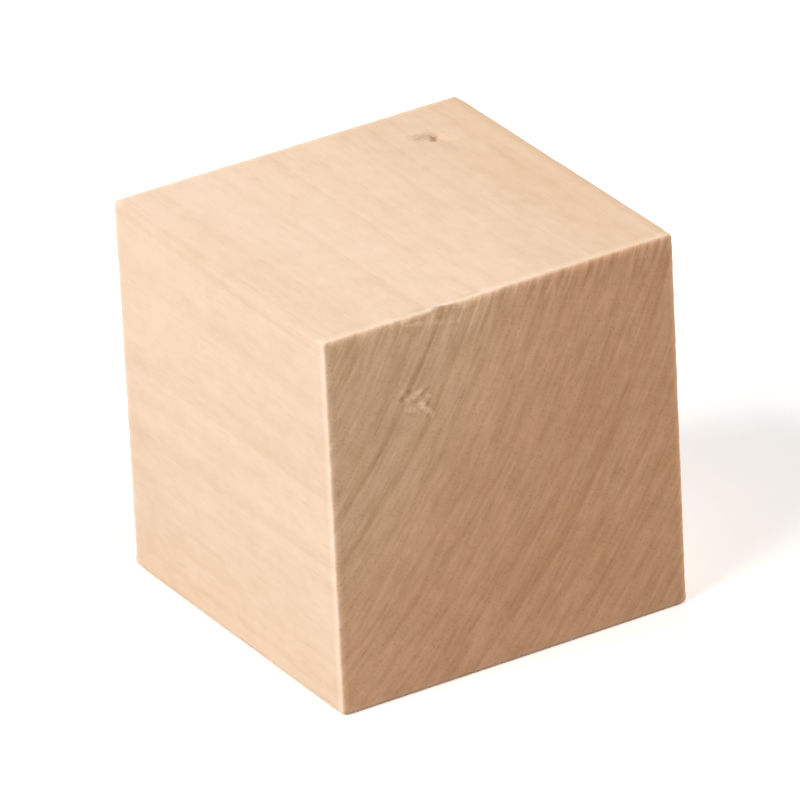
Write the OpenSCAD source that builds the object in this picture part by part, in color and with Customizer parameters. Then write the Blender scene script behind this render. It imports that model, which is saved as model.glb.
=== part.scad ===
// Plain hardwood craft cube: one solid block, cross-cut from a square-planed stick
// and lightly eased on all twelve arrises.
// The grain runs along Y, so the two Y faces are end grain. +Z is up, and the
// origin is the middle of the underside.

/* [Block] */
// Width across the grain, from side face to side face
block_width = 25.0; // [12:0.1:60]
// Length along the grain, from end face to end face
block_length = 24.9; // [12:0.1:60]
// Height across the grain, from underside to top
block_height = 25.4; // [12:0.1:60]

/* [Arrises] */
// Radius of the four arrises that run along the grain
side_arris_radius = 0.40; // [0.1:0.05:2]
// Radius of the eight arrises that frame the two end faces
end_arris_radius = 0.30; // [0.1:0.05:2]

/* [Hidden] */

// Steps that draw a full turn of an arris
arris_steps = 48;
// Spare length by which each prism runs past the block at both ends
prism_overrun = 1;
// Pale, unfinished side grain
wood_colour = [0.93, 0.79, 0.63];

// A rectangle, centred on the origin, with its four corners rounded.
module eased_rectangle(across, up, radius) {
    square([across - 2 * radius, up], center = true);
    square([across, up - 2 * radius], center = true);
    for (x = [-1, 1], y = [-1, 1])
        translate([x * (across / 2 - radius), y * (up / 2 - radius)])
            circle(r = radius, $fn = arris_steps);
}

// An eased rectangle drawn out along Z, with spare length at both ends.
module eased_prism(across, up, radius, length) {
    linear_extrude(height = length + 2 * prism_overrun, center = true)
        eased_rectangle(across, up, radius);
}

// The block is what three eased prisms share, so each pair of faces meets at
// an arris of its own radius and the corners are blended by all three.
module wooden_cube() {
    color(wood_colour)
        translate([0, 0, block_height / 2])
            intersection() {
                // seen along the grain: the planed stick
                rotate([90, 0, 0])
                    eased_prism(block_width, block_height, side_arris_radius, block_length);
                // seen from above: the end arrises that stand upright
                eased_prism(block_width, block_length, end_arris_radius, block_height);
                // seen from the side: the end arrises that lie level
                rotate([90, 0, 90])
                    eased_prism(block_length, block_height, end_arris_radius, block_width);
            }
}

wooden_cube();
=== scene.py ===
"""A bare hardwood cube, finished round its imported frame.

The block is rounded, sawn and bruised with modelling tools, and coloured by one
solid wood figure, so rings, rays and pores run on through all six faces.
The grain runs along Y. Shapes are in metres, and the wood figure is in mm.
"""

import math

import bpy
import numpy as np
from bpy.props import FloatProperty, FloatVectorProperty, IntProperty, PointerProperty
from mathutils import Matrix, Vector


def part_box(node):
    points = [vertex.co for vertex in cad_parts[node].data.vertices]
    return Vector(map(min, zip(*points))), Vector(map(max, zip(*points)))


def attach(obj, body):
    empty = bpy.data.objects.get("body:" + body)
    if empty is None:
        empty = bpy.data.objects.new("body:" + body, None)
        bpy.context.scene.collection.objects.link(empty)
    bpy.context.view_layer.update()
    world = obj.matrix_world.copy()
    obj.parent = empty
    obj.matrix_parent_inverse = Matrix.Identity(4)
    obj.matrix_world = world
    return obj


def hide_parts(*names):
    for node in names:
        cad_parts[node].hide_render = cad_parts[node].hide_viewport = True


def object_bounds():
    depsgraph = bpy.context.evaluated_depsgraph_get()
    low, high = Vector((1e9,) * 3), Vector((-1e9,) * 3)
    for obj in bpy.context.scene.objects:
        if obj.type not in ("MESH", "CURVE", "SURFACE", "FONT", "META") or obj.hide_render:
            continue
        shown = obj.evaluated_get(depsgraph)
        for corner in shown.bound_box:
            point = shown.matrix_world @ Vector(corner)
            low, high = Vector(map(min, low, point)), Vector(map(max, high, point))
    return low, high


bl_info = {
    "name": "Hardwood cube",
    "version": (1, 0, 0),
    "blender": (4, 5, 0),
    "location": "3D View > Sidebar > Wood",
    "description": "Shapes and finishes one bare hardwood cube and its small studio",
    "category": "Object",
}

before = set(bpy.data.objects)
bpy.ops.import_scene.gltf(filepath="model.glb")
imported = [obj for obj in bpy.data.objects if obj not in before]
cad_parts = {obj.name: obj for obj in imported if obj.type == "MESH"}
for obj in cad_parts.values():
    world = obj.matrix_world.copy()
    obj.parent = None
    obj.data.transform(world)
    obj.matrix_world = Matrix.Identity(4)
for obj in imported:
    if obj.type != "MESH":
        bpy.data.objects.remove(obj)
CAD_LOW, CAD_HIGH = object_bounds()

MM = 0.001
CUBE_NODE = "wooden_cube"
CUBE_BODY = "root"
# Share of the usual wear that the lowest arrises have
BASE_WEAR = 0.3
# Width in mm of the finely cut border round each mark
FINE_MARGIN = 0.35

# Small marks on the block, in mm. Each is pressed in along a line from start to end, or
# raised where the depth is below 0. The last two numbers are shares, from 0 to 1: a dark share,
# for real stain and for painted shade in dents and holes, and a pale share, for torn fibres
# and for a painted highlight on lips and raised fibres.
# (start, end, half width, depth, way in, dark stain and painted shade, pale torn fibres and painted
# highlight)
DOWN = (0, 0, -1)
FROM_FRONT = (0, 1, 0)
FROM_FRONT_ARRIS = (0, 0.7, -0.7)
MARKS = [
    # pin knot on the top, with a brown tail, a paler side and a dull streak
    ((7.74, 7.52, 25.40), (7.92, 7.90, 25.40), 0.33, 0.100, DOWN, 0.70, 0.00),
    ((7.72, 8.10, 25.40), (7.30, 8.36, 25.40), 0.68, 0.020, DOWN, 0.32, 0.00),
    ((7.20, 8.42, 25.40), (6.90, 8.60, 25.40), 0.55, 0.010, DOWN, 0.13, 0.00),
    ((8.45, 7.65, 25.40), (8.80, 7.15, 25.40), 0.55, 0.000, DOWN, 0.00, 0.40),
    ((7.70, 7.00, 25.40), (8.20, 5.70, 25.40), 0.60, 0.000, DOWN, 0.07, 0.00),
    # torn fibres on the front end, on a roughened patch; their paleness is partly their own colour and
    # partly a painted highlight
    ((-6.60, -12.45, 19.40), (-6.00, -12.45, 19.60), 1.00, 0.020, FROM_FRONT, 0.00, 0.10),
    ((-6.90, -12.45, 19.81), (-6.00, -12.45, 20.19), 0.25, -0.040, FROM_FRONT, 0.00, 0.56),
    ((-7.00, -12.45, 19.23), (-6.30, -12.45, 19.03), 0.23, -0.020, FROM_FRONT, 0.00, 0.34),
    ((-5.86, -12.45, 19.25), (-5.86, -12.45, 19.25), 0.32, -0.040, FROM_FRONT, 0.00, 1.00),
    ((-5.67, -12.45, 19.00), (-5.10, -12.45, 18.36), 0.21, -0.020, FROM_FRONT, 0.00, 0.38),
    ((-5.37, -12.45, 19.67), (-5.37, -12.45, 19.67), 0.25, -0.030, FROM_FRONT, 0.00, 0.44),
    ((-7.23, -12.45, 20.50), (-7.23, -12.45, 20.50), 0.25, -0.020, FROM_FRONT, 0.00, 0.42),
    # holes darkened with painted shade, and painted shade between them
    ((-6.54, -12.45, 19.40), (-5.38, -12.45, 20.17), 0.20, 0.070, FROM_FRONT, 0.24, 0.00),
    ((-7.26, -12.45, 20.01), (-7.26, -12.45, 20.01), 0.26, 0.080, FROM_FRONT, 0.52, 0.00),
    ((-6.74, -12.45, 20.32), (-6.74, -12.45, 20.32), 0.28, 0.060, FROM_FRONT, 0.28, 0.00),
    ((-5.40, -12.45, 19.14), (-5.40, -12.45, 19.14), 0.22, 0.060, FROM_FRONT, 0.30, 0.00),
    ((-5.50, -12.45, 18.39), (-5.50, -12.45, 18.39), 0.22, 0.050, FROM_FRONT, 0.20, 0.00),
    ((-6.95, -12.45, 18.84), (-6.35, -12.45, 18.65), 0.20, 0.030, FROM_FRONT, 0.10, 0.00),
    # stretch of the front top arris that is rubbed away and stops at a small dent; the rubbed lip and
    # the pale streaks below it carry a painted highlight, and the dent and the dark bands under the
    # arris carry painted shade
    ((-6.70, -12.45, 25.40), (-4.95, -12.45, 25.40), 0.45, 0.080, FROM_FRONT_ARRIS, 0.00, 0.85),
    ((-4.52, -12.45, 25.24), (-4.05, -12.45, 25.12), 0.36, 0.130, FROM_FRONT, 0.38, 0.00),
    ((-3.75, -12.45, 25.12), (-3.10, -12.45, 25.00), 0.32, 0.040, FROM_FRONT, 0.26, 0.00),
    ((-2.75, -12.45, 25.40), (-1.90, -12.45, 25.40), 0.38, 0.070, FROM_FRONT_ARRIS, 0.00, 0.50),
    ((-6.20, -12.45, 25.00), (-4.80, -12.45, 24.96), 0.24, 0.040, FROM_FRONT, 0.30, 0.00),
    ((-4.45, -12.45, 24.84), (-3.30, -12.45, 24.70), 0.26, 0.030, FROM_FRONT, 0.28, 0.00),
    ((-6.60, -12.45, 24.78), (-5.40, -12.45, 24.58), 0.17, -0.010, FROM_FRONT, 0.00, 0.30),
    ((-5.00, -12.45, 24.48), (-3.00, -12.45, 24.02), 0.16, -0.010, FROM_FRONT, 0.00, 0.26),
    ((-3.20, -12.45, 23.85), (-3.10, -12.45, 23.80), 0.22, 0.030, FROM_FRONT, 0.14, 0.00),
]


# ------------------------------------------------------------------ settings


class CubeShapeSettings(bpy.types.PropertyGroup):
    """Sizes that shape the cube's surface."""

    side_arris: FloatProperty(
        name="Side arris radius",
        description="Rounding of the four arrises that run along the grain",
        default=0.40 * MM,
        unit="LENGTH",
    )
    end_arris: FloatProperty(
        name="End arris radius",
        description="Rounding of the eight arrises that frame the end grain",
        default=0.30 * MM,
        unit="LENGTH",
    )
    arris_steps: IntProperty(
        name="Arris steps",
        description="Facets across one rounded arris",
        default=4,
    )
    cuts_across: IntProperty(
        name="Cuts across the grain",
        description="Cuts made along each edge that crosses the grain",
        default=149,
    )
    cuts_along: IntProperty(
        name="Cuts along the grain",
        description="Cuts made along each edge that follows the grain",
        default=59,
    )
    saw_spacing: FloatProperty(
        name="Saw mark spacing",
        description="Distance from one saw mark to the next on the end grain",
        default=0.80 * MM,
        unit="LENGTH",
    )
    saw_depth: FloatProperty(
        name="Saw mark depth",
        description="Depth of the deepest saw marks",
        default=0.016 * MM,
        unit="LENGTH",
    )
    fibre_depth: FloatProperty(
        name="Fibre relief",
        description="Depth of the sunken fibres on the side grain",
        default=0.010 * MM,
        unit="LENGTH",
    )
    plane_depth: FloatProperty(
        name="Planing waves",
        description="Most by which a face is out of flat",
        default=0.030 * MM,
        unit="LENGTH",
    )
    arris_wear: FloatProperty(
        name="Arris wear",
        description="Most that handling has rubbed off an arris",
        default=0.05 * MM,
        unit="LENGTH",
    )
    end_nicks: FloatProperty(
        name="Nicks round the ends",
        description="Depth of the small nicks that the saw left along the end arrises",
        default=0.06 * MM,
        unit="LENGTH",
    )


class CubeColourSettings(bpy.types.PropertyGroup):
    """Colours of the wood, as they look in even white light."""

    side_pale: FloatVectorProperty(
        name="Pale side grain",
        description="Early wood on the planed sides",
        subtype="COLOR",
        default=(0.907, 0.678, 0.498),
    )
    side_deep: FloatVectorProperty(
        name="Deep side grain",
        description="Late wood on the planed sides",
        subtype="COLOR",
        default=(0.735, 0.496, 0.314),
    )
    end_tint: FloatVectorProperty(
        name="End grain tint",
        description="How much of each colour the open end grain gives back",
        subtype="COLOR",
        default=(0.823, 0.709, 0.589),
    )
    # also laid on the marks as painted shade, in dents, in holes and under the rubbed arris
    fleck_and_shade: FloatVectorProperty(
        name="Pin knot and painted shade",
        description="Colour of pin knots and bark flecks",
        subtype="COLOR",
        default=(0.300, 0.130, 0.055),
    )
    # also laid on the marks as a painted highlight, on the rubbed arris lip and the torn patch
    torn_fibres_and_highlight: FloatVectorProperty(
        name="Torn fibres and painted highlight",
        description="Colour of loose fibres that stand up and catch the light",
        subtype="COLOR",
        default=(0.980, 0.705, 0.480),
    )


class StudioSettings(bpy.types.PropertyGroup):
    """Where the camera stands, and how strong the light is."""

    azimuth: FloatProperty(
        name="Camera azimuth",
        description="How far the camera stands round the cube",
        default=math.radians(-30.50),
        subtype="ANGLE",
    )
    elevation: FloatProperty(
        name="Camera elevation",
        description="How far the camera stands above the horizon",
        default=math.radians(26.74),
        subtype="ANGLE",
    )
    roll: FloatProperty(
        name="Camera roll",
        description="How far the camera leans to its side",
        default=math.radians(-2.89),
        subtype="ANGLE",
    )
    distance: FloatProperty(
        name="Camera distance",
        description="From the lens to the middle of the cube",
        default=0.686,
        unit="LENGTH",
    )
    focal_length: FloatProperty(
        name="Focal length",
        description="Focal length of the lens in millimetres",
        default=502.4,
    )
    aim_aside: FloatVectorProperty(
        name="Aim aside",
        description="How far to the right of the cube's middle, and above it, the camera looks",
        size=2,
        default=(-0.04 * MM, 0.07 * MM),
        unit="LENGTH",
    )
    key_power: FloatProperty(
        name="Key lamp power",
        description="Power of the big soft lamp on the left",
        default=90.0,
        unit="POWER",
    )
    fill_power: FloatProperty(
        name="Fill lamp power",
        description="Power of the soft lamp on the right",
        default=53.0,
        unit="POWER",
    )
    back_power: FloatProperty(
        name="Back lamp power",
        description="Power of the weak soft lamp behind the cube",
        default=28.0,
        unit="POWER",
    )
    room_light: FloatProperty(
        name="Room light",
        description="Strength of the even light from all round",
        default=0.15,
    )


# ------------------------------------------------------------------ node trees


class Recipe:
    """A node tree that is filled one named step at a time."""

    def __init__(self, tree):
        self.tree = tree
        tree.nodes.clear()

    def feed(self, socket, value):
        """Links value to the socket if it is an output, and sets it if it is plain."""
        if isinstance(value, bpy.types.NodeSocket):
            self.tree.links.new(value, socket)
        else:
            socket.default_value = value

    def add(self, kind, label, inputs=None, **choices):
        """One node with its choices set and its named inputs fed."""
        node = self.tree.nodes.new(kind)
        node.label = label
        for name, value in choices.items():
            setattr(node, name, value)
        for name, value in (inputs or {}).items():
            self.feed(node.inputs[name], value)
        return node

    def sum(self, operation, label, *values):
        """The result of one Math node."""
        node = self.add("ShaderNodeMath", label, operation=operation)
        for socket, value in zip(node.inputs, values):
            self.feed(socket, value)
        return node.outputs[0]

    def shift(self, operation, label, *values):
        """The vector that one Vector Math node gives."""
        node = self.add("ShaderNodeVectorMath", label, operation=operation)
        for socket, value in zip(node.inputs, values):
            self.feed(socket, value)
        return node.outputs[0]

    def length(self, label, vector):
        """How long a vector is."""
        node = self.add("ShaderNodeVectorMath", label, operation="LENGTH")
        self.feed(node.inputs[0], vector)
        return node.outputs["Value"]

    def share(self, label, name):
        """A share that the mesh keeps for each point."""
        return self.add("ShaderNodeAttribute", label, attribute_name=name).outputs["Fac"]

    def slope(self, label, value, start, end, low=0.0, high=1.0):
        """A smooth step from low, where value is start, to high, where it is end."""
        return self.add(
            "ShaderNodeMapRange",
            label,
            {"Value": value, "From Min": start, "From Max": end, "To Min": low, "To Max": high},
            interpolation_type="SMOOTHSTEP",
        ).outputs[0]

    def blend(self, label, share, first, second, way="MIX"):
        """first where share is 0, and second laid over it where share is 1."""
        node = self.add("ShaderNodeMix", label, data_type="RGBA", blend_type=way)
        self.feed(node.inputs[0], share)
        for socket, value in ((node.inputs[6], first), (node.inputs[7], second)):
            plain = not isinstance(value, bpy.types.NodeSocket)
            self.feed(socket, (*value, 1.0) if plain else value)
        return node.outputs[2]

    def stretched(self, label, place, spot_size):
        """Coordinates in which a pattern's unit is spot_size, in mm, along each axis."""
        scale = tuple(1 / size for size in spot_size)
        return self.add("ShaderNodeMapping", label, {"Vector": place, "Scale": scale}).outputs[0]

    def noise(self, label, place, spot_size, detail=2.0, roughness=0.5, output="Fac"):
        """Soft random spots of about spot_size, in mm."""
        return self.add(
            "ShaderNodeTexNoise",
            label,
            {
                "Vector": self.stretched(label + " spread", place, spot_size),
                "Scale": 1.0,
                "Detail": detail,
                "Roughness": roughness,
            },
        ).outputs[output]


# ------------------------------------------------------------------ wood figure

# X and Z of the tree's pith, which lies off the block
PITH = (-41.0, 41.0)
# Width of a usual year's ring
RING_WIDTH = 2.3
# Distance from the pith of the one strong dark ring
DARK_RING = 40.0
# X and Z of the saw's axle as it cut each end, by the side of Y
SAW_AXLES = {-1: (-66.0, 57.0), 1: (70.0, 52.0)}
# Distances from the pith between which the side grain deepens, and its depth at each
DEEPENS_OVER = (40.0, 56.0)
PITHWARD_DEPTH, OUTWARD_DEPTH = 0.10, 0.66
# Height up to which the side grain is paler, and how much paler it is at the very foot
PALE_FOOT_HEIGHT = 7.0
PALE_FOOT = 0.22
# Distances from the pith over which the end grain turns redder, and its tint from there
REDDENS_OVER = (DARK_RING - 1.0, DARK_RING + 8.0)
OUTER_WOOD_TINT = (1.0, 0.92, 0.91)
# Heights between which the saw marks grow clearer, and how clear they are at each
SAW_ENTERS_OVER = (22.0, 25.4)
DEEP_BITE, ENTRY_BITE = 0.55, 1.25
# How much each pattern deepens the side grain: some only add to it, and some swing it
SIDE_ADDS = {"late wood": 0.20, "dark ring": 0.10, "pores": 0.18}
SIDE_SWINGS = {"clouds": 0.60, "streaks": 0.38, "fibres": 0.34, "rays": 0.26, "mottle": 0.65}
# How much each pattern lightens the end grain, where below 0 is darker
END_SWINGS = {"rays": 0.15, "mottle": 0.30}
END_ADDS = {"late wood": -0.055, "dark ring": -0.20, "pores": -0.12}


def place_in_wood(wood):
    """The place in the block in mm, and the same place along the bending grain."""
    texture = wood.add("ShaderNodeTexCoord", "Place in the block")
    place = wood.add(
        "ShaderNodeMapping",
        "Metres to millimetres",
        {"Vector": texture.outputs["Object"], "Scale": (1 / MM,) * 3},
    ).outputs[0]
    bends = wood.noise("Slow bends", place, (22, 60, 22), detail=1.0, output="Color")
    both_ways = wood.shift("SUBTRACT", "Both ways", bends, (0.5, 0.5, 0.5))
    bend = wood.shift("MULTIPLY", "Bend in mm", both_ways, (3.0, 0.0, 3.0))
    return place, wood.shift("ADD", "Place along the grain", place, bend)


def off_axis(wood, label, place, axis):
    """The offset from an axis that runs along Y, and the distance."""
    offset = wood.shift("SUBTRACT", label + " offset", place, (axis[0], 0.0, axis[1]))
    flat = wood.shift("MULTIPLY", label + " across", offset, (1.0, 0.0, 1.0))
    return flat, wood.length(label + " distance", flat)


def round_axis(wood, label, flat, radius, at_radius, place):
    """Coordinates of an axis: (round it in mm at at_radius, out from it, along it)."""
    parts = wood.add("ShaderNodeSeparateXYZ", label + " parts", {"Vector": flat})
    angle = wood.sum("ARCTAN2", label + " angle", parts.outputs["Z"], parts.outputs["X"])
    arc = wood.sum("MULTIPLY", label + " arc", angle, at_radius)
    along = wood.add("ShaderNodeSeparateXYZ", label + " place", {"Vector": place}).outputs["Y"]
    return wood.add(
        "ShaderNodeCombineXYZ", label + " round", {"X": arc, "Y": radius, "Z": along}
    ).outputs[0]


def growth_rings(wood, bent):
    """Late wood and the strong dark ring from 0 to 1, and the distance from the pith."""
    _, radius = off_axis(wood, "Ring", bent, PITH)
    outwards = wood.add("ShaderNodeCombineXYZ", "Out from the pith", {"X": radius}).outputs[0]
    good_years = wood.noise("Good years", outwards, (6.0, 1, 1), detail=1.0)
    years = wood.sum("DIVIDE", "Even years", radius, RING_WIDTH)
    years = wood.sum("MULTIPLY_ADD", "Years", good_years, 3.0, years)
    season = wood.sum("FRACT", "Season", years)
    grows = wood.slope("Late wood grows", season, 0.45, 0.93)
    stops = wood.slope("Winter", season, 0.93, 1.0, 1.0, 0.0)
    number = wood.sum("FLOOR", "Year number", years)
    own = wood.add(
        "ShaderNodeTexWhiteNoise", "Strength of each ring", {"W": number}, noise_dimensions="1D"
    ).outputs["Value"]
    strength = wood.slope("Faint and clear rings", own, 0.0, 1.0, 0.25, 1.0)
    one_year = wood.sum("MULTIPLY", "One season", grows, stops)
    late = wood.sum("MULTIPLY", "Late wood", one_year, strength)
    past = wood.sum("SUBTRACT", "Past the dark ring", radius, DARK_RING)
    inner = wood.slope("Dark ring starts", past, -0.55, 0.0)
    outer = wood.slope("Dark ring stops", past, 0.05, 0.30, 1.0, 0.0)
    ring = wood.sum("MULTIPLY", "Dark ring", inner, outer)
    broken = wood.noise("Broken ring", bent, (2.6, 30.0, 2.6), detail=1.0)
    shown = wood.slope("Shown ring", broken, 0.30, 0.60, 0.35, 1.0)
    return late, wood.sum("MULTIPLY", "Broken dark ring", ring, shown), radius


def wood_rays(wood, place):
    """Rays that run out from the pith, as a pattern round 0.5."""
    flat, radius = off_axis(wood, "Ray", place, PITH)
    spread = round_axis(wood, "Ray", flat, radius, 45.0, place)
    return wood.noise("Rays", spread, (0.20, 4.0, 0.9), detail=1.5)


def open_pores(wood, bent):
    """Fine vessels, dots on end grain and short hair lines on side grain, from 0 to 1."""
    cells = wood.add(
        "ShaderNodeTexVoronoi",
        "Vessels",
        {"Vector": wood.stretched("Vessel spread", bent, (0.24, 2.6, 0.24)), "Scale": 1.0},
    ).outputs["Distance"]
    return wood.slope("Vessel width", cells, 0.08, 0.34, 1.0, 0.0)


def saw_marks(wood, place, side):
    """The arcs that the saw left on one end, as a height round 0.5."""
    flat, radius = off_axis(wood, f"Saw {side}", place, SAW_AXLES[side])
    at_tooth = round_axis(wood, f"Saw {side}", flat, radius, 85.0, place)
    strokes = wood.noise(f"Saw strokes {side}", at_tooth, (2.6, 0.38, 50), detail=2.0)
    scratches = wood.noise(f"Saw scratches {side}", at_tooth, (5.0, 0.13, 50), detail=2.0)
    broad = wood.sum("MULTIPLY", f"Saw share {side}", strokes, 0.7)
    return wood.sum("MULTIPLY_ADD", f"Saw marks {side}", scratches, 0.3, broad)


def wood_figure(wood):
    """The patterns in the wood by name, with the place in the block and its distances."""
    place, bent = place_in_wood(wood)
    late, dark, radius = growth_rings(wood, bent)
    by_axis = wood.add("ShaderNodeSeparateXYZ", "Place by axis", {"Vector": place})
    return {
        "place": place,
        "along": by_axis.outputs["Y"],
        "height": by_axis.outputs["Z"],
        "radius": radius,
        "late wood": late,
        "dark ring": dark,
        "pores": open_pores(wood, bent),
        "rays": wood_rays(wood, place),
        "fibres": wood.noise("Fibres", bent, (0.13, 6.0, 0.13), detail=3.0, roughness=0.6),
        "streaks": wood.noise("Streaks", bent, (0.8, 26.0, 0.8), detail=3.0),
        "clouds": wood.noise("Colour clouds", bent, (7.0, 14.0, 7.0), detail=2.0),
        "mottle": wood.noise("Mottle", place, (1.2, 2.0, 1.2), detail=3.0, roughness=0.6),
    }


def add_patterns(wood, label, start, figure, weights):
    """start, with each pattern added to it, times its weight."""
    total = start
    for name, weight in weights.items():
        total = wood.sum("MULTIPLY_ADD", f"{label} with {name}", figure[name], weight, total)
    return total


def swing_patterns(wood, label, start, figure, weights):
    """start, with each pattern's swing round 0.5 added to it, times its weight."""
    swings = {
        name: wood.sum("SUBTRACT", f"{label} {name} swing", figure[name], 0.5) for name in weights
    }
    return add_patterns(wood, label, start, swings, weights)


def side_grain(wood, figure, colours):
    """Colour of the planed sides, which deepens away from the pith."""
    depth = wood.slope(
        "Deeper away from the pith", figure["radius"], *DEEPENS_OVER, PITHWARD_DEPTH, OUTWARD_DEPTH
    )
    foot = wood.slope("Paler at the foot", figure["height"], 0.0, PALE_FOOT_HEIGHT, -PALE_FOOT, 0.0)
    depth = wood.sum("ADD", "Depth of the wood", depth, foot)
    depth = add_patterns(wood, "Depth", depth, figure, SIDE_ADDS)
    depth = swing_patterns(wood, "Depth", depth, figure, SIDE_SWINGS)
    return wood.blend("Side grain", depth, tuple(colours.side_pale), tuple(colours.side_deep))


def tint_ends(wood, figure, end, colour, colours):
    """The same colour, but darker and browner on end grain, and redder in its outer wood."""
    colour = wood.blend("End grain", end, colour, tuple(colours.end_tint), way="MULTIPLY")
    outer = wood.slope("Outer wood", figure["radius"], *REDDENS_OVER)
    outer = wood.sum("MULTIPLY", "Outer wood on the ends", outer, end)
    return wood.blend("Redder outer wood", outer, colour, OUTER_WOOD_TINT, way="MULTIPLY")


def sawn_surface(wood, figure):
    """The saw marks of whichever end is nearer."""
    nearer = wood.add("ShaderNodeMix", "Saw marks of this end", data_type="FLOAT")
    wood.feed(nearer.inputs[0], wood.slope("Back end", figure["along"], -1.0, 1.0))
    wood.feed(nearer.inputs[2], saw_marks(wood, figure["place"], -1))
    wood.feed(nearer.inputs[3], saw_marks(wood, figure["place"], 1))
    return nearer.outputs[0]


def tone_of_ends(wood, figure, sawn):
    """By how much the saw marks, rays, rings and vessels lighten or darken the ends."""
    bite = wood.slope(
        "The saw bites as it enters", figure["height"], *SAW_ENTERS_OVER, DEEP_BITE, ENTRY_BITE
    )
    tone = swing_patterns(wood, "End tone", 0.0, {"saw marks": sawn}, {"saw marks": bite})
    tone = swing_patterns(wood, "End tone", tone, figure, END_SWINGS)
    return add_patterns(wood, "End tone", tone, figure, END_ADDS)


def fine_relief(wood, figure, end, sawn):
    """The relief that is too fine to model, as a bumped normal."""
    height = wood.sum("MULTIPLY", "Fibre height", figure["fibres"], 0.7)
    height = wood.sum("MULTIPLY_ADD", "Pores sunk", figure["pores"], -0.4, height)
    cut_height = wood.sum("MULTIPLY", "Saw height", sawn, end)
    height = wood.sum("MULTIPLY_ADD", "Height", cut_height, 1.7, height)
    return wood.add(
        "ShaderNodeBump", "Fine relief", {"Height": height, "Distance": 0.014 * MM, "Strength": 1.0}
    ).outputs[0]


def bare_hardwood(colours):
    """The wood all through the block, with its planed sides and sawn ends."""
    material = bpy.data.materials.new("bare_hardwood")
    material.use_nodes = True
    wood = Recipe(material.node_tree)
    end = wood.share("End grain share", "end_grain")
    worn_and_highlight = wood.share("Arris wear and painted highlight share", "end_arris")
    stain_and_shade = wood.share("Stain and painted shade", "dark_mark")
    torn_and_highlight = wood.share("Torn fibres and painted highlight", "torn_mark")
    figure = wood_figure(wood)
    sawn = sawn_surface(wood, figure)

    ragged = wood.noise(
        "Ragged marks", figure["place"], (0.16, 0.16, 0.16), detail=2.0, roughness=0.7
    )
    uneven = wood.slope("Uneven marks", ragged, 0.30, 0.62, 0.25, 1.25)
    torn_and_highlight = wood.sum("MULTIPLY", "Ragged torn fibres and painted highlight", torn_and_highlight, uneven)
    stain_and_shade = wood.sum("MULTIPLY", "Ragged stain and painted shade", stain_and_shade, uneven)

    colour = side_grain(wood, figure, colours)
    colour = tint_ends(wood, figure, end, colour, colours)
    end_tone = tone_of_ends(wood, figure, sawn)
    tone = wood.sum("MULTIPLY_ADD", "Tone of the ends", end_tone, end, 1.0)
    # the arrises round the ends are lighter: partly rubbed wear, partly a painted highlight along the
    # lip
    tone = wood.sum("MULTIPLY_ADD", "Rubbed arrises and painted highlight", worn_and_highlight, 0.20, tone)
    # what is darker is also redder
    tones = wood.add(
        "ShaderNodeCombineXYZ",
        "Tone",
        {
            "X": tone,
            "Y": wood.sum("POWER", "Tone of green", tone, 1.25),
            "Z": wood.sum("POWER", "Tone of blue", tone, 1.60),
        },
    ).outputs[0]
    colour = wood.blend("Toned", 1.0, colour, tones, way="MULTIPLY")
    # pale torn fibres, and a painted highlight on the marks
    colour = wood.blend("Pale fibres and painted highlight", torn_and_highlight, colour, tuple(colours.torn_fibres_and_highlight))
    # knot stain, and painted shade in the dents and holes of the marks
    colour = wood.blend("Stained and painted shade", stain_and_shade, colour, tuple(colours.fleck_and_shade))
    shader = wood.add(
        "ShaderNodeBsdfPrincipled",
        "Bare wood",
        {
            "Base Color": colour,
            "Roughness": wood.sum("MULTIPLY_ADD", "Roughness", end, 0.12, 0.72),
            "IOR": 1.45,
            "Specular IOR Level": 0.28,
            "Normal": fine_relief(wood, figure, end, sawn),
        },
    )
    wood.add("ShaderNodeOutputMaterial", "Surface", {"Surface": shader.outputs[0]})
    return material


# ------------------------------------------------------------------ shaping


def select_nothing():
    """Leaves every object deselected, in object mode."""
    if bpy.context.object and bpy.context.object.mode != "OBJECT":
        bpy.ops.object.mode_set(mode="OBJECT")
    bpy.ops.object.select_all(action="DESELECT")


def edge_run(mesh, edge):
    """How far an edge runs along X, Y and Z."""
    first, second = (mesh.vertices[v].co for v in edge.vertices)
    return [abs(a) for a in second - first]


def select_edges(piece, wanted):
    """Selects, in edit mode, the edges for which wanted(run) is true, and no more."""
    bpy.ops.object.mode_set(mode="EDIT")
    bpy.ops.mesh.select_mode(type="EDGE")
    bpy.ops.mesh.select_all(action="DESELECT")
    bpy.ops.object.mode_set(mode="OBJECT")
    for edge in piece.data.edges:
        edge.select = wanted(edge_run(piece.data, edge))
    bpy.ops.object.mode_set(mode="EDIT")


def apply_modifier(piece, kind, **choices):
    """Adds one modifier, sets it and applies it."""
    bpy.context.view_layer.objects.active = piece
    bpy.ops.object.modifier_add(type=kind)
    modifier = piece.modifiers[-1]
    for name, value in choices.items():
        setattr(modifier, name, value)
    bpy.ops.object.modifier_apply(modifier=modifier.name)


def add_block(low, high):
    """A plain block that fills the box, in place and at full size."""
    select_nothing()
    bpy.ops.mesh.primitive_cube_add(
        size=1, location=(low + high) / 2, scale=high - low, calc_uvs=False
    )
    block = bpy.context.object
    bpy.ops.object.transform_apply(location=True, rotation=True, scale=True)
    return block


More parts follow.
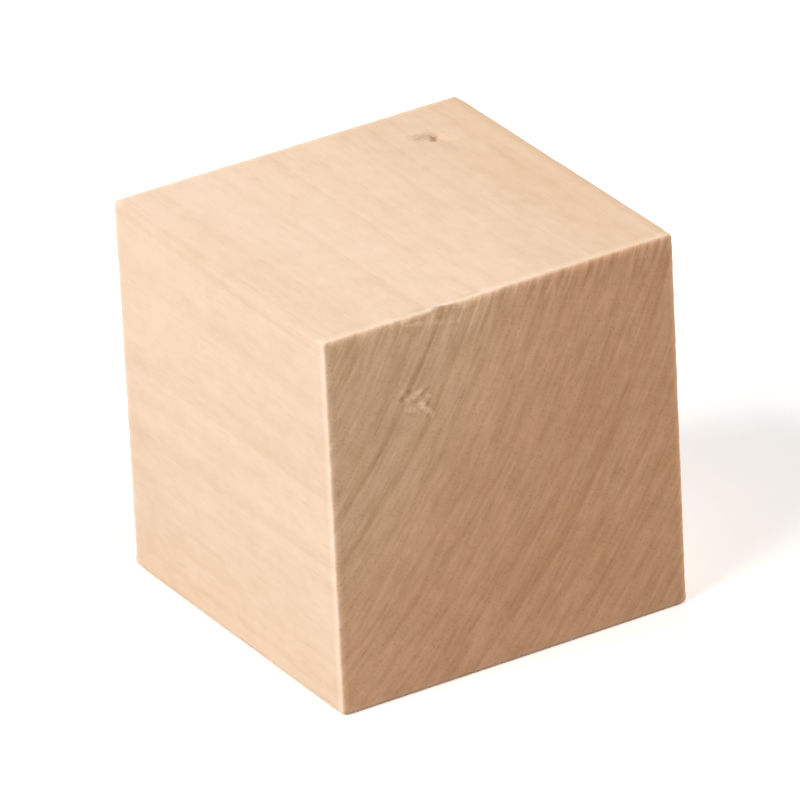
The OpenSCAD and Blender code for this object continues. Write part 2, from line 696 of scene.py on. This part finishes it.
def round_arrises(block, shape):
    """Rounds the arrises, with one radius along the grain and one round the ends."""
    widest = max(shape.side_arris, shape.end_arris)
    weights = block.data.attributes.new("bevel_weight_edge", "FLOAT", "EDGE")
    for edge in block.data.edges:
        run = edge_run(block.data, edge)
        along_grain = run[1] == max(run)
        radius = shape.side_arris if along_grain else shape.end_arris
        weights.data[edge.index].value = radius / widest
    apply_modifier(
        block,
        "BEVEL",
        width=widest,
        segments=shape.arris_steps,
        limit_method="WEIGHT",
    )
    block.data.attributes.remove(block.data.attributes["bevel_weight_edge"])


def cut_grid(block, shape):
    """Cuts the long edges, so that every face carries an even grid."""
    long_edge = 10 * MM
    select_edges(block, lambda run: max(run[0], run[2]) > long_edge)
    bpy.ops.mesh.subdivide(number_cuts=shape.cuts_across)
    select_edges(block, lambda run: run[1] > long_edge)
    bpy.ops.mesh.subdivide(number_cuts=shape.cuts_along)
    bpy.ops.object.mode_set(mode="OBJECT")


def smooth_step(values, start, end):
    """0 at start, 1 at end, and a smooth rise between, for each of the values."""
    shares = np.clip((values - start) / (end - start), 0.0, 1.0)
    return shares * shares * (3 - 2 * shares)


def vertex_places(block):
    """The places of the block's vertices, a row for each."""
    places = np.empty(len(block.data.vertices) * 3)
    block.data.vertices.foreach_get("co", places)
    return places.reshape(-1, 3)


def face_values(block, what):
    """The centres or the normals of the block's faces, a row for each."""
    values = np.empty(len(block.data.polygons) * 3)
    block.data.polygons.foreach_get(what, values)
    return values.reshape(-1, 3)


def keep_share(block, name, values):
    """Keeps a share for each point, for the materials to read."""
    attribute = block.data.attributes.new(name, "FLOAT", "POINT")
    attribute.data.foreach_set("value", values)


def group_by_share(block, name, values):
    """Makes a vertex group whose weights are the shares."""
    group = block.vertex_groups.new(name=name)
    for index in np.flatnonzero(values > 0):
        group.add([int(index)], float(values[index]), "REPLACE")


def mark_zones(block, low, high, shape):
    """Gives each point its share of end grain and of arris."""
    places = vertex_places(block)
    inside = np.minimum(places - np.array(low), np.array(high) - places)
    end_grain = 1 - smooth_step(inside[:, 1], 0.0, 0.7 * shape.end_arris)
    two_nearest = np.sort(inside, axis=1)[:, :2].sum(axis=1)
    radius = max(shape.side_arris, shape.end_arris)
    arris = 1 - smooth_step(two_nearest, 0.5 * radius, 1.6 * radius)
    # share of the end arrises that the wood paints lighter, partly for rubbed wear and partly as a
    # painted highlight
    rubbed_and_highlight = 1 - smooth_step(two_nearest, 0.4 * radius, 1.2 * radius)
    by_the_end = inside[:, 1] < 2 * radius
    # hands hardly reach the arrises that the block stands on
    handled = np.where(places[:, 2] < low[2] + 2 * radius, BASE_WEAR, 1.0)
    keep_share(block, "end_grain", end_grain)
    keep_share(block, "end_arris", rubbed_and_highlight * by_the_end)
    group_by_share(block, "arris", arris * handled)
    group_by_share(block, "end_arris", arris * by_the_end * handled)
    group_by_share(block, "side_grain", 1 - end_grain)
    for side in (-1, 1):
        group_by_share(block, f"end_{side}", end_grain * (places[:, 1] * side > 0))


def add_guide(name, place, scale):
    """An empty whose place and size a texture follows. It is removed afterwards."""
    guide = bpy.data.objects.new(name, None)
    bpy.context.scene.collection.objects.link(guide)
    guide.location = place
    guide.scale = scale
    return guide


def sink(block, name, kind, depth, group, place, spot_size, **choices):
    """Sinks the surface by up to depth, in a pattern with spots of spot_size."""
    texture = bpy.data.textures.new(name, kind)
    for choice, value in choices.items():
        setattr(texture, choice, value)
    guide = add_guide(name, place, spot_size)
    bpy.context.view_layer.update()
    apply_modifier(
        block,
        "DISPLACE",
        texture=texture,
        texture_coords="OBJECT",
        texture_coords_object=guide,
        vertex_group=group,
        direction="NORMAL",
        mid_level=1.0,
        strength=depth,
    )
    bpy.data.objects.remove(guide)
    bpy.data.textures.remove(texture)


def saw_the_ends(block, low, high, shape):
    """Leaves the saw's arcs on both end faces."""
    # a ring pattern repeats each 2 pi / 20 of its guide's size
    guide_size = shape.saw_spacing * 20 / (2 * math.pi)
    for side, (axle_x, axle_z) in SAW_AXLES.items():
        end_y = high[1] if side > 0 else low[1]
        sink(
            block,
            f"saw_marks_{side}",
            "WOOD",
            shape.saw_depth,
            f"end_{side}",
            (axle_x * MM, end_y, axle_z * MM),
            (guide_size,) * 3,
            wood_type="RINGNOISE",
            noise_basis_2="SIN",
            noise_scale=8.0,
            turbulence=6.0,
        )


def weather(block, shape):
    """Raises the fibres, rubs the arrises and puts the faces slightly out of flat."""
    # (name, depth, vertex group, size of its spots in mm, other choices)
    for name, depth, group, spot_size, choices in (
        ("fibres", shape.fibre_depth, "side_grain", (0.35, 9, 0.35), {}),
        ("planing", shape.plane_depth, "", (9, 9, 9), {}),
        ("wear", shape.arris_wear, "arris", (1.6, 1.6, 1.6), {"noise_depth": 2}),
        ("saw_nicks", shape.end_nicks, "end_arris", (0.45, 3.0, 0.45), {}),
    ):
        guide_size = tuple(size * MM for size in spot_size)
        sink(block, name, "CLOUDS", depth, group, (0, 0, 0), guide_size, noise_scale=1.0, **choices)


def off_mark(places, start, end):
    """How far each place lies from the line of a mark."""
    start, end = np.array(start) * MM, np.array(end) * MM
    line = end - start
    offsets = places - start
    length = line @ line
    shares = np.clip(offsets @ line / length, 0.0, 1.0) if length else np.zeros(len(places))
    return np.linalg.norm(offsets - np.outer(shares, line), axis=1)


def refine_round_marks(block):
    """Cuts the faces round each mark finer, so that its shape shows."""
    bpy.ops.object.mode_set(mode="EDIT")
    bpy.ops.mesh.select_mode(type="FACE")
    bpy.ops.mesh.select_all(action="DESELECT")
    bpy.ops.object.mode_set(mode="OBJECT")
    centres = face_values(block, "center")
    close = np.zeros(len(centres), dtype=bool)
    for start, end, half_width, *_ in MARKS:
        close |= off_mark(centres, start, end) < (half_width + FINE_MARGIN) * MM
    block.data.polygons.foreach_set("select", close)
    bpy.ops.object.mode_set(mode="EDIT")
    bpy.ops.mesh.subdivide(number_cuts=2)
    # a face with new points along an edge is cut from its middle, or it would fall into slivers
    bpy.ops.mesh.select_all(action="DESELECT")
    bpy.ops.mesh.select_face_by_sides(number=4, type="GREATER")
    bpy.ops.mesh.poke()
    bpy.ops.object.mode_set(mode="OBJECT")


def press_mark(block, start, end, half_width, depth, way_in):
    """Presses the surface in along one line, with a soft slope to each side."""
    bpy.ops.object.mode_set(mode="EDIT")
    bpy.ops.mesh.select_mode(type="VERT")
    bpy.ops.mesh.select_all(action="DESELECT")
    bpy.ops.object.mode_set(mode="OBJECT")
    away = off_mark(vertex_places(block), start, end)
    reach = max(away.min() * 1.5, 0.25 * half_width * MM)
    block.data.vertices.foreach_set("select", away < reach)
    bpy.ops.object.mode_set(mode="EDIT")
    bpy.ops.transform.translate(
        value=Vector(way_in) * depth * MM,
        use_proportional_edit=True,
        proportional_edit_falloff="SMOOTH",
        proportional_size=half_width * MM,
        use_proportional_connected=True,
    )
    bpy.ops.object.mode_set(mode="OBJECT")


def colour_and_shade_marks(block):
    """Gives each point its share of dark stain and painted shade, and of torn fibres and painted
    highlight.
    """
    places = vertex_places(block)
    dark = np.zeros(len(places))
    torn_and_highlight = np.zeros(len(places))
    for start, end, half_width, _, _, stain_and_shade_share, fibres in MARKS:
        away = off_mark(places, start, end) / (half_width * MM)
        share = 1 - smooth_step(away, 0.35, 1.15)
        dark = np.maximum(dark, share * stain_and_shade_share)
        torn_and_highlight = np.maximum(torn_and_highlight, share * fibres)
    keep_share(block, "dark_mark", dark)
    keep_share(block, "torn_mark", torn_and_highlight)


def lay_out_bake_map(block, low, high):
    """Lays the six faces side by side in a map, three across and two up."""
    layer = block.data.uv_layers.new(name="OFBake")
    size = np.array(high) - np.array(low)
    shares = (vertex_places(block) - np.array(low)) / size
    normals = face_values(block, "normal")
    facing = np.abs(normals).argmax(axis=1)
    outwards = normals[np.arange(len(normals)), facing] > 0
    face_of_corner = np.repeat(np.arange(len(normals)), [len(f.vertices) for f in block.data.polygons])
    vertex_of_corner = np.empty(len(block.data.loops), dtype=np.int32)
    block.data.loops.foreach_get("vertex_index", vertex_of_corner)
    # the axes that run across and up each part of the map, by the axis it faces
    across = np.array([1, 0, 1])[facing][face_of_corner]
    up = np.array([2, 2, 0])[facing][face_of_corner]
    corner_shares = shares[vertex_of_corner]
    corners = np.arange(len(corner_shares))
    # each part keeps a narrow gap round itself
    gap_across, gap_up = 0.02, 0.013
    in_part = gap_across + (1 - 2 * gap_across) * corner_shares[corners, across]
    up_part = gap_up + (1 - 2 * gap_up) * corner_shares[corners, up]
    u = (facing[face_of_corner] + in_part) / 3
    v = (outwards[face_of_corner] + up_part) / 2
    layer.data.foreach_set("uv", np.column_stack((u, v)).ravel())


class OBJECT_OT_hardwood_cube(bpy.types.Operator):
    """Shapes the cube inside its frame and gives it its wood"""

    bl_idname = "object.hardwood_cube"
    bl_label = "Hardwood cube"

    def execute(self, context):
        shape = context.scene.cube_shape
        low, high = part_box(CUBE_NODE)
        block = add_block(low, high)
        block.name = "hardwood_cube"
        round_arrises(block, shape)
        cut_grid(block, shape)
        refine_round_marks(block)
        lay_out_bake_map(block, low, high)
        mark_zones(block, low, high, shape)
        colour_and_shade_marks(block)
        saw_the_ends(block, low, high, shape)
        weather(block, shape)
        block.vertex_groups.clear()
        for start, end, half_width, depth, way_in, *_ in MARKS:
            press_mark(block, start, end, half_width, depth, way_in)
        bpy.ops.object.shade_smooth()
        block.data.materials.append(bare_hardwood(context.scene.cube_colours))
        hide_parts(CUBE_NODE)
        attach(block, CUBE_BODY)
        return {"FINISHED"}


# ------------------------------------------------------------------ studio


# The table's paint as it lights the cube, and as it is seen
TABLE_GREY = (0.55, 0.55, 0.55)
TABLE_WHITE = (1.35, 1.35, 1.35)
# Distances from the cube, in metres, over which the table fades into the backdrop
TABLE_FADES_FROM = 0.07
TABLE_FADED_AT = 0.40
TABLE_SIDE = 12.0
# Azimuth and elevation in degrees, and side in metres, of each square soft lamp
SOFTBOXES = {"key": (-90.0, 33.0, 2.4), "fill": (60.0, 33.0, 1.6), "back": (170.0, 25.0, 1.6)}
SOFTBOX_DISTANCE = 3.0


def shows_backdrop(recipe):
    """1 for rays that show the backdrop, seen plainly, in gloss or through glass."""
    light_path = recipe.add("ShaderNodeLightPath", "Kind of ray")
    shown = recipe.sum(
        "MAXIMUM",
        "Seen or mirrored",
        light_path.outputs["Is Camera Ray"],
        light_path.outputs["Is Glossy Ray"],
    )
    return recipe.sum("MAXIMUM", "Or through glass", shown, light_path.outputs["Is Transmission Ray"])


def white_room(strength):
    """Even light all round, and plain white wherever the backdrop is seen."""
    world = bpy.data.worlds.new("white_room")
    world.use_nodes = True
    room = Recipe(world.node_tree)
    lit = room.add("ShaderNodeBackground", "Light", {"Color": (1, 1, 1, 1), "Strength": strength})
    white = room.add("ShaderNodeBackground", "Backdrop", {"Color": (1, 1, 1, 1), "Strength": 1.0})
    mixed = room.add("ShaderNodeMixShader", "By kind of ray", {0: shows_backdrop(room)})
    room.feed(mixed.inputs[1], lit.outputs[0])
    room.feed(mixed.inputs[2], white.outputs[0])
    room.add("ShaderNodeOutputWorld", "World", {"Surface": mixed.outputs[0]})
    bpy.context.scene.world = world


def table_paint():
    """A white table top that takes the cube's shadow and fades into the backdrop."""
    material = bpy.data.materials.new("table_paint")
    material.use_nodes = True
    paint = Recipe(material.node_tree)
    seen = shows_backdrop(paint)
    colour = paint.blend("Paint", seen, TABLE_GREY, TABLE_WHITE)
    matt = paint.add("ShaderNodeBsdfDiffuse", "Matt paint", {"Color": colour})
    white = paint.add("ShaderNodeEmission", "White backdrop", {"Strength": 1.0})
    place = paint.add("ShaderNodeTexCoord", "Place on the table").outputs["Object"]
    away = paint.length("Away from the cube", place)
    fades = paint.slope("Fades to white", away, TABLE_FADES_FROM, TABLE_FADED_AT)
    share = paint.sum("MULTIPLY", "Backdrop share", seen, fades)
    mixed = paint.add("ShaderNodeMixShader", "Table", {0: share})
    paint.feed(mixed.inputs[1], matt.outputs[0])
    paint.feed(mixed.inputs[2], white.outputs[0])
    paint.add("ShaderNodeOutputMaterial", "Surface", {"Surface": mixed.outputs[0]})
    return material


def direction(azimuth, elevation):
    """The way from the cube to something that stands round it, as the camera does."""
    return Vector(
        (
            math.sin(azimuth) * math.cos(elevation),
            -math.cos(azimuth) * math.cos(elevation),
            math.sin(elevation),
        )
    )


def aim(thing, target, away, distance, roll=0.0):
    """Puts a lamp or camera at a distance from the target and turns it to face it."""
    thing.location = target + away * distance
    turn = (-away).to_track_quat("-Z", "Y").to_matrix().to_4x4()
    thing.rotation_euler = (turn @ Matrix.Rotation(roll, 4, "Z")).to_euler()


def add_softbox(name, target, power):
    """One square soft lamp, turned to face the target."""
    azimuth, elevation, side = SOFTBOXES[name]
    lamp = bpy.data.lights.new(f"{name}_lamp", "AREA")
    lamp.shape = "SQUARE"
    lamp.size = side
    lamp.energy = power
    softbox = bpy.data.objects.new(f"{name}_lamp", lamp)
    bpy.context.scene.collection.objects.link(softbox)
    away = direction(math.radians(azimuth), math.radians(elevation))
    aim(softbox, target, away, SOFTBOX_DISTANCE)


def add_camera(studio, middle):
    """The camera, which looks a little aside of the cube's middle."""
    lens = bpy.data.cameras.new("camera")
    lens.lens = studio.focal_length
    lens.clip_start = 0.05
    lens.clip_end = 20.0
    camera = bpy.data.objects.new("camera", lens)
    bpy.context.scene.collection.objects.link(camera)
    away = direction(studio.azimuth, studio.elevation)
    right = Vector((0, 0, 1)).cross(away).normalized()
    aside, above = studio.aim_aside
    looked_at = middle + aside * right + above * away.cross(right)
    aim(camera, looked_at, away, studio.distance, studio.roll)
    bpy.context.scene.camera = camera


class OBJECT_OT_cube_studio(bpy.types.Operator):
    """Sets up the white table, the soft lamps and the camera"""

    bl_idname = "object.cube_studio"
    bl_label = "Studio"

    def execute(self, context):
        studio = context.scene.cube_studio
        middle = (CAD_LOW + CAD_HIGH) / 2
        select_nothing()
        bpy.ops.mesh.primitive_plane_add(size=TABLE_SIDE, location=(0, 0, CAD_LOW[2]))
        table = context.object
        table.name = "table_top"
        table.data.materials.append(table_paint())
        white_room(studio.room_light)
        for name in SOFTBOXES:
            add_softbox(name, middle, getattr(studio, f"{name}_power"))
        add_camera(studio, middle)
        context.scene.view_settings.view_transform = "Standard"
        return {"FINISHED"}


# ------------------------------------------------------------------ add-on


class VIEW3D_PT_hardwood_cube(bpy.types.Panel):
    """The cube's operators and settings in the sidebar"""

    bl_idname = "VIEW3D_PT_hardwood_cube"
    bl_label = "Hardwood cube"
    bl_space_type = "VIEW_3D"
    bl_region_type = "UI"
    bl_category = "Wood"

    def draw(self, context):
        for settings in SETTINGS:
            group = getattr(context.scene, settings)
            for name in group.bl_rna.properties.keys():
                if name not in ("rna_type", "name"):
                    self.layout.prop(group, name)
        for operator in OPERATORS:
            self.layout.operator(operator.bl_idname)


SETTINGS = {
    "cube_shape": CubeShapeSettings,
    "cube_colours": CubeColourSettings,
    "cube_studio": StudioSettings,
}
OPERATORS = (OBJECT_OT_hardwood_cube, OBJECT_OT_cube_studio)


def register():
    for name, group in SETTINGS.items():
        bpy.utils.register_class(group)
        setattr(bpy.types.Scene, name, PointerProperty(type=group))
    for operator in OPERATORS:
        bpy.utils.register_class(operator)
    bpy.utils.register_class(VIEW3D_PT_hardwood_cube)


def unregister():
    bpy.utils.unregister_class(VIEW3D_PT_hardwood_cube)
    for operator in reversed(OPERATORS):
        bpy.utils.unregister_class(operator)
    for name, group in SETTINGS.items():
        delattr(bpy.types.Scene, name)
        bpy.utils.unregister_class(group)


def main():
    """Makes the cube and its studio."""
    register()
    bpy.ops.object.hardwood_cube()
    bpy.ops.object.cube_studio()


if __name__ == "__main__":
    main()
